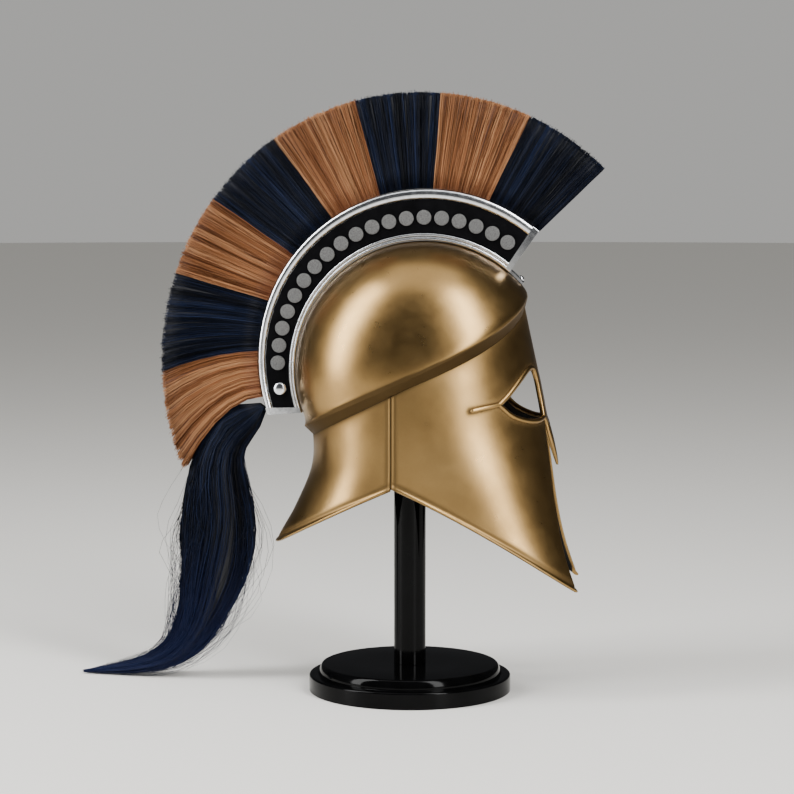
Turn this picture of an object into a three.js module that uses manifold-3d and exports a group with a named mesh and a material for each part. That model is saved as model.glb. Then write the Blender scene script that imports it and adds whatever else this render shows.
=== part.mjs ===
// A crested bronze helmet of the Corinthian kind on its turned display stand.
//
// Millimetres, +Z up. +X is the way the face looks and -Y is the wearer's right. The origin is the centre
// of the stand's foot, on the surface that it stands on.

import * as THREE from "three";
import { mergeVertices } from "three/addons/utils/BufferGeometryUtils.js";
import Module from "manifold-3d";

const wasm = await Module();
wasm.setup();

// ---- Driving dimensions ----

const FIT = 0.3; // clearance between pieces that lie against each other
const WALL = 2; // bronze sheet
const RIM_BEAD = 2.3; // radius of the rolled lower rim
const EYE_BEAD = 2.5; // radius of the raised wire round the eyes

// Skull: an ellipsoid tipped with its front up, that ends in a ledge.
const SKULL = { x: 14.5, z: 323.5, radius: 128.9, halfWidth: 98, tip: 30.9 };
const LEDGE = { x: 5.3, z: 333.9, halfLength: 129, halfWidth: 97.5, sag: 10.6, sagPower: 1.2, flare: 4.5 };

// Waist: the line where the ledge comes down to the face and neck plates.
const WAIST = { z: 323.5, tip: 65, sag: 13, sagPower: 1.2 };

const SEAM_AT = 97; // degrees round from the front, where face plate and neck plate meet
const SEAM_RIB = { width: 2.6, height: 1.1 };

// Plan sections of the face and neck plates: reach ahead of and behind the pole's axis, half the width,
// and how full the front half is (2 is an ellipse, more is boxier).
const SECTIONS = table("z front back half fullness", [
  [405, 110.5, 97.5, 80, 1.9],
  [365, 119, 97.5, 87, 1.9],
  [325, 127.7, 97.5, 90, 1.9],
  [275, 138.2, 97.5, 91, 1.9],
  [230, 148.5, 98, 91, 2.1],
  [187, 157, 115, 90.5, 2.4],
  [154, 165, 133, 90, 2.7],
  [109, 178.5, 150, 89, 3.2],
]);

// Lower rims in side view: height = level + slope x + bend x^2, for x ahead of the pole's axis.
const CHEEK_RIM = { level: 211, slope: -0.478, bend: -0.0007 };
const NECK_RIM = { level: 220, slope: 0.43, bend: -0.0006 };

// Front opening between the cheeks, and the nasal that hangs in it, in front view.
const MOUTH = table("z half", [
  [276, 15.5],
  [271, 19],
  [251, 24.5],
  [236, 29],
  [212, 35],
  [187, 40.5],
  [160, 46],
  [138, 49.5],
  [111, 51.5],
  [80, 53],
]);
const NASAL = table("z half", [
  [276, 12.5],
  [264, 11.5],
  [250, 9],
  [238, 5.6],
  [231, 2.4],
]);
const NASAL_TIP_Z = 229.5;

// Right eye in front view, as distances out from the middle and heights: the upper lid from the outer
// corner over the brow and down beside the nasal, then the lower lid back to the outer corner.
const UPPER_LID = table("out z", [
  [63.5, 295],
  [57, 302.5],
  [49, 311.5],
  [38, 321.5],
  [28, 327.5],
  [19.5, 327],
  [15, 318.5],
  [14.2, 304],
  [14.5, 289],
  [16, 279],
]);
const LOWER_LID = table("out z", [
  [16, 279],
  [29, 276.2],
  [43, 277.4],
  [55, 283],
  [63.5, 295],
]);
const EYE_TAIL = table("out z", [
  [63.5, 295],
  [71, 292.8],
  [78.2, 289.8],
]);

// Crest box: a flat ring segment over the skull.
const CREST = { x: 17.6, z: 334.2, radius: 169.3, from: 49.2, to: 199.4, thick: 22 };
const CREST_FOOT = SKULL.radius + 0.6; // inner radius, about the skull's own centre
const PANEL = {
  outer: { x: 17.3, z: 332.2, radius: 161.5 },
  inner: { x: 14.5, z: 323.5, radius: 135.1 },
  from: 51.6,
  to: 196.9,
  deep: 2.7,
  thick: 1,
};
const DISCS = { x: 15.8, z: 328.2, pitch: 147.4, count: 19, from: 56.4, step: 6.82 };
const DISC = { radius: 7.25, thick: 1.2 };
const RIVET = { at: 189.3, radius: 6.4, height: 2.8 };
const TONGUE = { from: 53, to: 41.5, thick: 2.4, width: 14 };
const SCREW = { at: 43.6, radius: 3.3, height: 2.6 };

// Plume: nine edges of eight sections. Angles are at the crest's rim and at the trimmed edge, reach is from
// the centre of the fan, and arch is how far a hair bows up between root and tip.
const FAN = { x: 11, z: 343.3, rootHalf: 8.5, tipHalf: 14, locks: 5, strip: 0.05 };
const PLUME = table("root tip reach arch", [
  [49, 44.8, 256, 0],
  [68.8, 65.1, 256, 0],
  [87.9, 85.3, 256, 0],
  [106, 104.7, 256, 0],
  [124, 124.5, 256, 0],
  [142, 143.9, 256, 0],
  [159.9, 162.6, 257, 0],
  [177.4, 185.4, 261, 5],
  [193, 207, 268, 18],
]);

// Tail: centres of its sections, their size across the side view and through it.
const TAIL = table("x y z across deep", [
  [-147.4, 0, 285.6, 8, 15],
  [-155, 0, 277, 19, 18],
  [-168, 0, 266, 30, 22],
  [-183, 1, 252, 40, 26],
  [-191.5, 2, 235, 49, 30],
  [-195, 4, 212, 60, 34],
  [-195, 8, 182, 68, 38],
  [-197, 14, 150, 71, 38],
  [-200, 20, 122, 67, 38],
  [-209, 27, 88, 57, 37],
  [-224, 34, 55, 44, 36],
  [-242, 39, 31, 31, 34],
  [-266, 43, 16, 20, 30],
  [-296, 46, 8.6, 13, 22],
  [-322, 48, 5, 7, 13],
  [-345, 49, 2.6, 2.4, 4],
]);
const TAIL_LOCKS = 8;

// Stand: radii and heights of its turned profiles.
const BASE = { lower: 101.5, upper: 91.5, step: 17, top: 27, edge: 2 };
const POLE = { radius: 16, headRadius: 34, headRise: 26, top: 448 };

// ---- Tables and curves ----

// Rows of numbers as objects with the given column names.
function table(columns, rows) {
  const names = columns.split(" ");
  return rows.map((row) => Object.fromEntries(names.map((name, i) => [name, row[i]])));
}

// All columns of a table where one of them has a given value, on a smooth curve through the rows.
function rowAt(rows, key, value) {
  const up = rows[0][key] < rows[rows.length - 1][key];
  const after = rows.findIndex((row) => (up ? row[key] >= value : row[key] <= value));
  const i = after < 0 ? rows.length - 2 : Math.max(after - 1, 0);
  const at = THREE.MathUtils.clamp((value - rows[i][key]) / (rows[i + 1][key] - rows[i][key]), 0, 1);
  const slope = (name, k) => {
    const [a, b] = [rows[Math.max(k - 1, 0)], rows[Math.min(k + 1, rows.length - 1)]];
    return (b[name] - a[name]) / (b[key] - a[key]);
  };
  const found = {};
  for (const name of Object.keys(rows[0])) {
    const span = rows[i + 1][key] - rows[i][key];
    const [p, q] = [rows[i][name], rows[i + 1][name]];
    const [u, v] = [slope(name, i) * span, slope(name, i + 1) * span];
    found[name] =
      p + at * (u + at * (3 * (q - p) - 2 * u - v + at * (2 * (p - q) + u + v)));
  }
  return found;
}

const rad = THREE.MathUtils.degToRad;
const { lerp } = THREE.MathUtils;
const vec = (x, y, z) => new THREE.Vector3(x, y, z);
const steps = (count, from = 0, to = 1) =>
  Array.from({ length: count + 1 }, (_, i) => lerp(from, to, i / count));

// The value between two ends at which a rising function passes zero.
function rootOf(rising, low, high) {
  for (let i = 0; i < 40; i++) {
    const middle = (low + high) / 2;
    if (rising(middle) < 0) low = middle;
    else high = middle;
  }
  return (low + high) / 2;
}

// ---- Solids ----

// A closed mesh as a manifold solid, with its shared vertices merged and its collapsed faces dropped.
function solid(geometry) {
  const bare = new THREE.BufferGeometry();
  bare.setAttribute("position", geometry.getAttribute("position"));
  if (geometry.index) bare.setIndex(geometry.index);
  const merged = mergeVertices(bare, 1e-3);
  const faces = [];
  for (let i = 0; i < merged.index.count; i += 3) {
    const [a, b, c] = [0, 1, 2].map((k) => merged.index.getX(i + k));
    if (a !== b && b !== c && c !== a) faces.push(a, b, c);
  }
  return new wasm.Manifold(
    new wasm.Mesh({
      numProp: 3,
      vertProperties: new Float32Array(merged.attributes.position.array),
      triVerts: new Uint32Array(faces),
    }),
  );
}

// A manifold solid as a geometry for a mesh.
function geometryOf(made) {
  const mesh = made.getMesh();
  const geometry = new THREE.BufferGeometry();
  geometry.setAttribute("position", new THREE.BufferAttribute(new Float32Array(mesh.vertProperties), 3));
  geometry.setIndex(new THREE.BufferAttribute(new Uint32Array(mesh.triVerts), 1));
  geometry.computeVertexNormals();
  return geometry;
}

const joined = (solids) => solids.reduce((all, one) => all.add(one));

// A closed solid from rows of points and the faces that join them, turned to face out.
function skin(rows, faces) {
  const geometry = new THREE.BufferGeometry();
  const flat = rows.flat().flatMap((p) => [p.x, p.y, p.z]);
  geometry.setAttribute("position", new THREE.Float32BufferAttribute(flat, 3));
  geometry.setIndex(faces);
  return facingOut(geometry);
}

// A solid that is turned over where its faces point inwards.
function facingOut(geometry) {
  const made = solid(geometry);
  return made.volume() < 0 ? solid(turnedOver(geometry)) : made;
}

// A solid through a row of closed loops that have the same even number of points. Each end is capped
// between the loop's first half and its second, read backwards.
function loft(loops) {
  const n = loops[0].length;
  const faces = [];
  const quad = (a, b, c, d) => faces.push(a, b, c, a, c, d);
  for (let i = 0; i < loops.length - 1; i++) {
    const [here, next] = [i * n, (i + 1) * n];
    for (let j = 0; j < n; j++) {
      const k = (j + 1) % n;
      quad(here + j, here + k, next + k, next + j);
    }
  }
  const end = (loops.length - 1) * n;
  for (let j = 0; j < n / 2 - 1; j++) {
    quad(j, n - 1 - j, n - 2 - j, j + 1);
    quad(end + j, end + j + 1, end + n - 2 - j, end + n - 1 - j);
  }
  return skin(loops, faces);
}

// The same faces, seen from the other side.
function turnedOver(geometry) {
  const index = Array.from(geometry.index.array);
  for (let i = 0; i < index.length; i += 3) [index[i], index[i + 1]] = [index[i + 1], index[i]];
  return geometry.setIndex(index);
}

// A round wire along a smooth line through points.
function wire(points, radius, segments) {
  const circle = new THREE.Shape().absarc(0, 0, radius, 0, 2 * Math.PI);
  return solid(
    new THREE.ExtrudeGeometry(circle, {
      steps: segments,
      curveSegments: 3,
      extrudePath: new THREE.CatmullRomCurve3(points, false, "centripetal"),
    }),
  );
}

// A flat outline in side view (x, z) as a slab between two distances across, from y = -far to y = -near.
function slab(shape, near, far, bevel = 0) {
  const geometry = new THREE.ExtrudeGeometry(shape, {
    depth: far - near - 2 * bevel,
    curveSegments: 48,
    bevelEnabled: bevel > 0,
    bevelThickness: bevel,
    bevelSize: bevel,
    bevelOffset: -bevel,
    bevelSegments: 1,
  });
  geometry.translate(0, 0, near + bevel);
  geometry.rotateX(Math.PI / 2);
  return solid(geometry);
}

// An outline in front view (y, z) as a block that runs along X, from behind the face to ahead of it.
function frontCutter(outline) {
  const geometry = new THREE.ExtrudeGeometry(new THREE.Shape(outline), { depth: 170, bevelEnabled: false });
  const toFront = new THREE.Matrix4().makeBasis(vec(0, 1, 0), vec(0, 0, 1), vec(1, 0, 0));
  geometry.applyMatrix4(toFront);
  geometry.translate(40, 0, 0);
  return solid(geometry);
}

// A turned piece about the Z axis, from a profile of [radius, height] that starts and ends on the axis.
function turned(profile, segments) {
  const points = profile.map(([r, z]) => new THREE.Vector2(r, z));
  const geometry = new THREE.LatheGeometry(points, segments);
  geometry.rotateX(Math.PI / 2);
  return facingOut(geometry);
}

// ---- Materials ----

const finish = (color, roughness, metalness) =>
  new THREE.MeshStandardMaterial({ color, roughness, metalness, side: THREE.DoubleSide });
const bronze = () => finish(0x9c7a4b, 0.38, 1);
const silver = () => finish(0xc6c8ca, 0.3, 1);
const panelBlack = () => finish(0x0c0c0e, 0.5, 0.2);
const navyHair = () => finish(0x141a2b, 0.6, 0);
const copperHair = () => finish(0xb0764a, 0.6, 0);
const lacquer = () => finish(0x070708, 0.12, 0);

const helmet = new THREE.Group();

function place(name, made, material) {
  const mesh = new THREE.Mesh(geometryOf(made), material);
  mesh.name = name;
  helmet.add(mesh);
}

// ---- Face and neck plates ----

// A point of the plates' outer face: round in radians from the front towards the wearer's right, height,
// and how far inside the outer face it lies.
function plate(round, z, inside = 0) {
  const section = rowAt(SECTIONS, "z", z);
  const [c, s] = [Math.cos(round), Math.sin(round)];
  const power = 2 / (c > 0 ? section.fullness : 2);
  const reach = (c > 0 ? section.front : section.back) - inside;
  return vec(
    reach * Math.sign(c) * Math.abs(c) ** power,
    -(section.half - inside) * Math.sign(s) * Math.abs(s) ** power,
    z,
  );
}

// Height of the waist line round the head.
function waistZ(round) {
  const sag = WAIST.sag * Math.abs(Math.sin(round)) * (1 + Math.cos(round)) ** WAIST.sagPower;
  return WAIST.z + WAIST.tip * Math.cos(round) - sag;
}

// Height of a lower rim round the head.
function rimZ(round, rim) {
  const above = (z) => {
    const { x } = plate(round, z);
    return z - (rim.level + rim.slope * x + rim.bend * x * x);
  };
  return rootOf(above, 90, 240);
}

// One plate between two seams: loops down the outer face, round the rolled rim and up the inner face.
function sheet(columns, rim, rows) {
  const loops = columns.map(({ round, lift }) => {
    const [top, bottom] = [waistZ(round) - FIT / 2, rimZ(round, rim)];
    const [out, inn] = [plate(round, bottom), plate(round, bottom, WALL)];
    const outward = out.clone().sub(inn).normalize();
    const down = out.clone().sub(plate(round, bottom + 4)).normalize();
    const middle = out.clone().add(inn).multiplyScalar(0.5);
    const heights = steps(rows, top, bottom + RIM_BEAD * 1.3);
    const roll = [-25, 50, 130, 205].map((degrees) =>
      middle
        .clone()
        .addScaledVector(outward, (RIM_BEAD + lift * 0.4) * Math.cos(rad(degrees)))
        .addScaledVector(down, RIM_BEAD * Math.sin(rad(degrees))),
    );
    return [
      ...heights.map((z) => plate(round, z, -lift)),
      ...roll,
      ...heights.reverse().map((z) => plate(round, z, WALL)),
    ];
  });
  return loft(loops);
}

// Columns of a plate, from one seam to the other, with a raised rib along each seam.
function seamedColumns(from, to, count) {
  const degreesPerMm = 360 / (2 * Math.PI * 90);
  const rib = SEAM_RIB.width * degreesPerMm;
  const edge = (FIT / 2) * degreesPerMm;
  const ribbed = (at, way) => [
    { round: rad(at + way * edge), lift: SEAM_RIB.height },
    { round: rad(at + way * (edge + rib * 0.7)), lift: SEAM_RIB.height },
    { round: rad(at + way * (edge + rib)), lift: 0 },
  ];
  const plain = steps(count, from + edge + rib, to - edge - rib).slice(1, -1);
  return [
    ...ribbed(from, 1),
    ...plain.map((at) => ({ round: rad(at), lift: 0 })),
    ...ribbed(to, -1).reverse(),
  ];
}

// A front-view point on the middle of the face sheet, at a distance out to the wearer's right.
function onFace(out, z) {
  const round = Math.sign(out) * rootOf((at) => -plate(at, z).y - Math.abs(out), 0, Math.PI / 2);
  return plate(round, z, WALL / 2);
}

// The opening between the cheeks round the nasal, as a front-view outline.
function mouthOutline() {
  const cheek = steps(10, 80, MOUTH[0].z).map((z) => [rowAt(MOUTH, "z", z).half, z]);
  const nasal = steps(5, NASAL[0].z, NASAL[NASAL.length - 1].z).map((z) => [rowAt(NASAL, "z", z).half, z]);
  const right = [...cheek, ...nasal];
  return [
    ...right.map(([out, z]) => new THREE.Vector2(-out, z)),
    new THREE.Vector2(0, NASAL_TIP_Z),
    ...right.reverse().map(([out, z]) => new THREE.Vector2(out, z)),
  ];
}

// A smooth front-view line through a table's rows, as [out, z] pairs.
function lidLine(rows, count) {
  const line = new THREE.SplineCurve(rows.map((row) => new THREE.Vector2(row.out, row.z)));
  return line.getSpacedPoints(count).map((p) => [p.x, p.y]);
}

function faceGuard() {
  let made = sheet(seamedColumns(-SEAM_AT, SEAM_AT, 30), CHEEK_RIM, 6);
  made = made.subtract(frontCutter(mouthOutline()));
  for (const side of [1, -1]) {
    const [upper, lower] = [lidLine(UPPER_LID, 14), lidLine(LOWER_LID, 6)];
    const outline = [...upper, ...lower.slice(1, -1)];
    made = made.subtract(frontCutter(outline.map(([out, z]) => new THREE.Vector2(-side * out, z))));
    const nasalEdge = steps(5, NASAL[0].z, NASAL_TIP_Z + 2).map((z) => [rowAt(NASAL, "z", z).half, z]);
    const onSide = ([out, z]) => onFace(side * out, z);
    const tail = lidLine(EYE_TAIL, 3).slice(1).reverse();
    made = joined([
      made,
      wire([...tail, ...upper, ...nasalEdge].map(onSide), EYE_BEAD, 27),
      wire(lower.map(onSide), EYE_BEAD, 7),
    ]);
  }
  return made;
}

function neckGuard() {
  return sheet(seamedColumns(SEAM_AT, 360 - SEAM_AT, 20), NECK_RIM, 6);
}

// ---- Skull ----

const ALONG = vec(Math.cos(rad(SKULL.tip)), 0, Math.sin(rad(SKULL.tip)));
const OVER = vec(-Math.sin(rad(SKULL.tip)), 0, Math.cos(rad(SKULL.tip)));
const ACROSS = vec(0, -1, 0);

// A point of the ledge's sharp edge, at an angle round the tipped ledge.
function ledgePoint(round, inside) {
  const sag = LEDGE.sag * Math.abs(Math.sin(round)) * (1 + Math.cos(round)) ** LEDGE.sagPower;
  return vec(LEDGE.x, 0, LEDGE.z)
    .addScaledVector(ALONG, (LEDGE.halfLength - inside) * Math.cos(round))
    .addScaledVector(ACROSS, (LEDGE.halfWidth - inside) * Math.sin(round))
    .addScaledVector(OVER, -sag);
}

// A line from the crown down the ellipsoid, which flares over its last stretch to the ledge's edge.
function skullLine(round, inside, rows) {
  const centre = vec(SKULL.x, 0, SKULL.z);
  const onEllipsoid = (up) =>
    centre
      .clone()
      .addScaledVector(ALONG, (SKULL.radius - inside) * Math.cos(up) * Math.cos(round))
      .addScaledVector(ACROSS, (SKULL.halfWidth - inside) * Math.cos(up) * Math.sin(round))
      .addScaledVector(OVER, (SKULL.radius - inside) * Math.sin(up));
  const edge = ledgePoint(round, inside);
  const foot = Math.asin(edge.clone().sub(centre).dot(OVER) / (SKULL.radius - inside));
  return [...steps(rows, Math.PI / 2, foot + rad(LEDGE.flare)).map(onEllipsoid), edge];
}

function skullDome() {
  const rounds = steps(32, 0, 2 * Math.PI).slice(0, -1);
  const lines = rounds.map((round) => {
    const foot = waistZ(round) + FIT / 2;
    return [
      ...skullLine(round, 0, 8),
      plate(round, foot),
      plate(round, foot, WALL),
      ...skullLine(round, WALL, 8).reverse(),
    ];
  });
  return crowned(lines);
}

// A solid through lines that all start at one point and all end at another, closed round on itself.
function crowned(lines) {
  const n = lines[0].length;
  const faces = [];
  lines.forEach((_, i) => {
    const [here, next] = [i * n, ((i + 1) % lines.length) * n];
    for (let j = 0; j < n - 1; j++) {
      faces.push(here + j, here + j + 1, next + j + 1, here + j, next + j + 1, next + j);
    }
  });
  return skin(lines, faces);
}

// ---- Crest ----

// A side-view point on a circle about a centre that has x and z.
const onCircle = (centre, radius, degrees) =>
  new THREE.Vector2(
    centre.x + radius * Math.cos(rad(degrees)),
    centre.z + radius * Math.sin(rad(degrees)),
  );

// A ring segment between two arcs, ended by straight cuts, shrunk all round by a clearance.
function ringSegment(outer, inner, from, to, count, shrunk = 0) {
  const turn = THREE.MathUtils.radToDeg(shrunk / inner.radius);
  const arc = (circle, radius) =>
    steps(count, from + turn, to - turn).map((degrees) => onCircle(circle, radius, degrees));
  return new THREE.Shape([
    ...arc(outer, outer.radius - shrunk),
    ...arc(inner, inner.radius + shrunk).reverse(),
  ]);
}

function crestFrame() {
  const half = CREST.thick / 2;
  const foot = { x: SKULL.x, z: SKULL.z, radius: CREST_FOOT };
  const box = slab(ringSegment(CREST, foot, CREST.from, CREST.to, 30), -half, half, 1.6);
  const pocket = ringSegment(PANEL.outer, PANEL.inner, PANEL.from, PANEL.to, 30);
  const tongueTop = { ...foot, radius: foot.radius + TONGUE.thick };
  const tongue = slab(
    ringSegment(tongueTop, foot, TONGUE.to, TONGUE.from, 4),
    -TONGUE.width / 2,
    TONGUE.width / 2,
  );
  return box
    .subtract(slab(pocket, half - PANEL.deep, half + 1))
    .subtract(slab(pocket, -half - 1, PANEL.deep - half))
    .add(tongue);
}

function crestSides() {
  const half = CREST.thick / 2;
  const plan = ringSegment(PANEL.outer, PANEL.inner, PANEL.from, PANEL.to, 24, FIT);
  const back = half - PANEL.deep + FIT;
  const front = back + PANEL.thick;
  for (const [side, word] of [
    [1, "right"],
    [-1, "left"],
  ]) {
    const span = (near, far) => (side > 0 ? [near, far] : [-far, -near]);
    place("crest_panel_" + word, slab(plan, ...span(back, front)), panelBlack());
    for (let i = 0; i < DISCS.count; i++) {
      const centre = onCircle(DISCS, DISCS.pitch, DISCS.from + DISCS.step * i);
      const disc = turned(
        [
          [0, 0],
          [DISC.radius, 0],
          [DISC.radius, DISC.thick],
          [0, DISC.thick],
        ],
        10,
      );
      const name = "crest_disc_" + word + "_" + String(i + 1).padStart(2, "0");
      place(name, onPanel(disc, centre, side, front + FIT), silver());
    }
    const at = onCircle(DISCS, DISCS.pitch, RIVET.at);
    place("crest_rivet_" + word, onPanel(domedHead(RIVET), at, side, front + FIT), silver());
  }
}

// A piece that is turned about Z, laid with its foot on a side of the crest.
function onPanel(made, centre, side, out) {
  const geometry = geometryOf(made);
  geometry.rotateX((side * Math.PI) / 2);
  geometry.translate(centre.x, -side * out, centre.y);
  return solid(geometry);
}

// A low domed head with its foot at height 0.
function domedHead({ radius, height }) {
  const crown = steps(4, 0, Math.PI / 2).map((up) => [radius * Math.cos(up), height * Math.sin(up)]);
  return turned([[0, 0], ...crown.slice(0, -1), [0, height]], 12);
}

function frontScrew() {
  const geometry = geometryOf(domedHead(SCREW));
  geometry.rotateY(rad(90 - SCREW.at));
  const seat = onCircle(SKULL, CREST_FOOT + TONGUE.thick + FIT + 0.5, SCREW.at);
  geometry.translate(seat.x, 0, seat.y);
  return solid(geometry);
}

// ---- Plume ----

// A point of the plume in side view: where along its nine edges, and share of the way from root to tip.
function hairPoint(along, share) {
  const i = Math.min(Math.floor(along), PLUME.length - 2);
  const mixed = (name) => lerp(PLUME[i][name], PLUME[i + 1][name], along - i);
  const root = onCircle(CREST, CREST.radius + FIT, mixed("root"));
  const tip = onCircle(FAN, mixed("reach"), mixed("tip"));
  const bow = 4 * mixed("arch") * share * (1 - share);
  return new THREE.Vector2(lerp(root.x, tip.x, share), lerp(root.y, tip.y, share) + bow);
}

// One section: its locks swell from a flat strip at the root and are cut off square at the tips.
function plumeSection(number) {
  const margin = 0.0035;
  const across = steps(2 * FAN.locks, number + margin, number + 1 - margin);
  const shares = [0, FAN.strip, 0.25, 0.6, 0.93, 1];
  const loops = shares.map((share, row) => {
    const side = across.map((along, column) => {
      const ridge = column % 2 === 1;
      const bound = row < 2;
      const cut = row === shares.length - 1;
      const reach = share - (cut && !ridge ? 0.02 : 0);
      const { x, y: z } = hairPoint(along, reach);
      const full = lerp(FAN.rootHalf, FAN.tipHalf, share);
      return { x, z, half: full * (bound || ridge ? 1 : 0.74) * (cut ? 0.72 : 1) };
    });
    return [
      ...side.map(({ x, z, half }) => vec(x, -half, z)),
      ...side.reverse().map(({ x, z, half }) => vec(x, half, z)),
    ];
  });
  return loft(loops);
}

// The tail: a lofted bunch with a ridge for each lock.
function plumeTail() {
  const spine = TAIL.map(({ x, y, z }) => vec(x, y, z));
  const loops = TAIL.map((row, i) => {
    const [before, after] = [spine[Math.max(i - 1, 0)], spine[Math.min(i + 1, spine.length - 1)]];
    const ahead = after.clone().sub(before).normalize();
    const deep = vec(0, 1, 0).addScaledVector(ahead, -ahead.y).normalize();
    const across = ahead.clone().cross(deep);
    return steps(2 * TAIL_LOCKS, 0, 2 * Math.PI)
      .slice(0, -1)
      .map((turn, k) => {
        const swell = k % 2 === 0 ? 1 : 0.86;
        return spine[i]
          .clone()
          .addScaledVector(across, (row.across / 2) * swell * Math.cos(turn))
          .addScaledVector(deep, (row.deep / 2) * swell * Math.sin(turn));
      });
  });
  return loft(loops);
}

// ---- Stand ----

function standBase() {
  const { lower, upper, step, top, edge } = BASE;
  const nose = steps(4, 0, Math.PI / 2).map((up) => [
    upper - (top - step) * (1 - Math.cos(up)) * 0.45,
    step + (top - step) * Math.sin(up),
  ]);
  return turned(
    [
      [0, 0],
      [lower, 0],
      [lower, step - edge],
      [lower - edge, step],
      ...nose,
      [0, top],
    ],
    40,
  );
}

function standPole() {
  const { radius, headRadius, headRise, top } = POLE;
  const head = steps(5, 0, Math.PI / 2).map((up) => [
    headRadius * Math.cos(up),
    top - headRise + headRise * Math.sin(up),
  ]);
  return turned(
    [
      [0, BASE.top + FIT],
      [radius, BASE.top + FIT],
      [radius, top - headRise - 22],
      ...head.slice(0, -1),
      [0, top],
    ],
    20,
  );
}

// ---- Assembly ----

place("skull_dome", skullDome(), bronze());
place("face_guard", faceGuard(), bronze());
place("neck_guard", neckGuard(), bronze());
place("crest_frame", crestFrame(), silver());
crestSides();
place("front_screw", frontScrew(), silver());
for (let i = 0; i < PLUME.length - 1; i++) {
  place("plume_" + (i + 1), plumeSection(i), i % 2 === 0 ? navyHair() : copperHair());
}
place("plume_tail", plumeTail(), navyHair());
place("stand_base", standBase(), lacquer());
place("stand_pole", standPole(), lacquer());

export default helmet;
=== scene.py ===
import bmesh
import bpy
import numpy as np
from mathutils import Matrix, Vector


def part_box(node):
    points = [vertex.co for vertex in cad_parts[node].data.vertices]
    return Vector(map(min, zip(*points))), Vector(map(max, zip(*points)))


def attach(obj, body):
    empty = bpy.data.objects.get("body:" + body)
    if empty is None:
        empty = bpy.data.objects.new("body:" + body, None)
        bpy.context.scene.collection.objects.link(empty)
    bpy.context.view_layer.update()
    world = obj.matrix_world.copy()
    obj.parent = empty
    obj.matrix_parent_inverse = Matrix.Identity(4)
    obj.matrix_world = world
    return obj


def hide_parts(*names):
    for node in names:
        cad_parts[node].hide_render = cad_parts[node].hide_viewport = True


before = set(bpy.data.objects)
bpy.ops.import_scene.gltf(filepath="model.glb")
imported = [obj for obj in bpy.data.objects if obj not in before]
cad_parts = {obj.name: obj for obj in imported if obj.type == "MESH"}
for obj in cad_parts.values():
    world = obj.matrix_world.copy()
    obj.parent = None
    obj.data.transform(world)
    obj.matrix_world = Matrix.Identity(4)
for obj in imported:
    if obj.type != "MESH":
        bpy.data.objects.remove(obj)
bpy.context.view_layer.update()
MM = 0.001

# ---- Camera ----
# A long lens level with the lower crest and a little ahead of the helmet's side, so that the right side
# shows nearly square on and the front edge of the face plate just comes into view.
VIEW_TARGET = (-0.013, 0, 0.296)
VIEW_AZIMUTH, VIEW_ELEVATION, VIEW_DISTANCE = 4.5, 5.4, 2.5
LENS_MM, SENSOR_MM = 113.35, 36


def put_in_scene(name, data, materials=()):
    """A new object that shows some data, in its materials."""
    for material in materials:
        data.materials.append(material)
    thing = bpy.data.objects.new(name, data)
    bpy.context.scene.collection.objects.link(thing)
    return thing


def aimed(name, data, target, azimuth, elevation, distance):
    """A new object that looks at a target. Seen from the target it lies at a distance along (cos e sin a,
    -cos e cos a, sin e), for the azimuth a and the elevation e in degrees."""
    azimuth, elevation = np.radians([azimuth, elevation])
    level = np.cos(elevation)
    away = Vector((level * np.sin(azimuth), -level * np.cos(azimuth), np.sin(elevation)))
    thing = put_in_scene(name, data)
    thing.location = Vector(target) + distance * away
    thing.rotation_euler = (-away).to_track_quat("-Z", "Y").to_euler()
    return thing


camera = aimed(
    "camera", bpy.data.cameras.new("camera"), VIEW_TARGET, VIEW_AZIMUTH, VIEW_ELEVATION, VIEW_DISTANCE
)
camera.data.lens = LENS_MM
camera.data.sensor_width = SENSOR_MM
bpy.context.scene.camera = camera


# ---- Floor and light ----
# A pale matt floor, a pale backdrop and three soft boxes: a tall one before the face, a tall one beside
# the tail and a wide one overhead. What the metal mirrors elsewhere is dimmer, so it keeps dark flanks.
def linear(hex_colour):
    """An sRGB hex colour as linear red, green, blue and alpha: below 0.04 a twelfth, above it a power."""
    srgb = np.array([int(hex_colour[i : i + 2], 16) for i in (1, 3, 5)]) / 255
    rgb = np.where(srgb <= 0.04045, srgb / 12.92, ((srgb + 0.055) / 1.055) ** 2.4)
    return (*rgb.tolist(), 1.0)


def fill(tree, node, inputs):
    """Gives each named or numbered input of a node its value, or links the socket that stands for it."""
    for name, value in inputs.items():
        if isinstance(value, bpy.types.NodeSocket):
            tree.links.new(value, node.inputs[name])
        else:
            node.inputs[name].default_value = value


def add(tree, kind, inputs=None, **settings):
    """A new node with its settings and its inputs."""
    node = tree.nodes.new("ShaderNode" + kind)
    for name, value in settings.items():
        setattr(node, name, value)
    fill(tree, node, inputs or {})
    return node


def new_material(name):
    """An empty material, its node tree, its Principled shader, and each point's place on its object."""
    material = bpy.data.materials.new(name)
    material.use_nodes = True
    tree = material.node_tree
    tree.nodes.clear()
    shader = add(tree, "BsdfPrincipled")
    add(tree, "OutputMaterial", {"Surface": shader.outputs[0]})
    return material, tree, shader, add(tree, "TexCoord").outputs["Object"]


def painted(tree, name):
    """What paint_points stored under a name."""
    return add(tree, "Attribute", attribute_name=name).outputs["Fac"]


def noise(tree, place, scale, detail, roughness=0.5):
    """Cloudy noise from 0 to 1 with that many lumps to the metre, plus octaves that each have twice the
    lumps of the last and its strength times the roughness."""
    inputs = {"Vector": place, "Scale": scale, "Detail": detail, "Roughness": roughness}
    return add(tree, "TexNoise", inputs).outputs[0]


def spread(tree, value, low, high, span=(0.0, 1.0)):
    """A value whose span is stretched to run from low to high, and that stays there beyond it."""
    inputs = {"Value": value, "From Min": span[0], "From Max": span[1], "To Min": low, "To Max": high}
    return add(tree, "MapRange", inputs).outputs[0]


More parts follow.
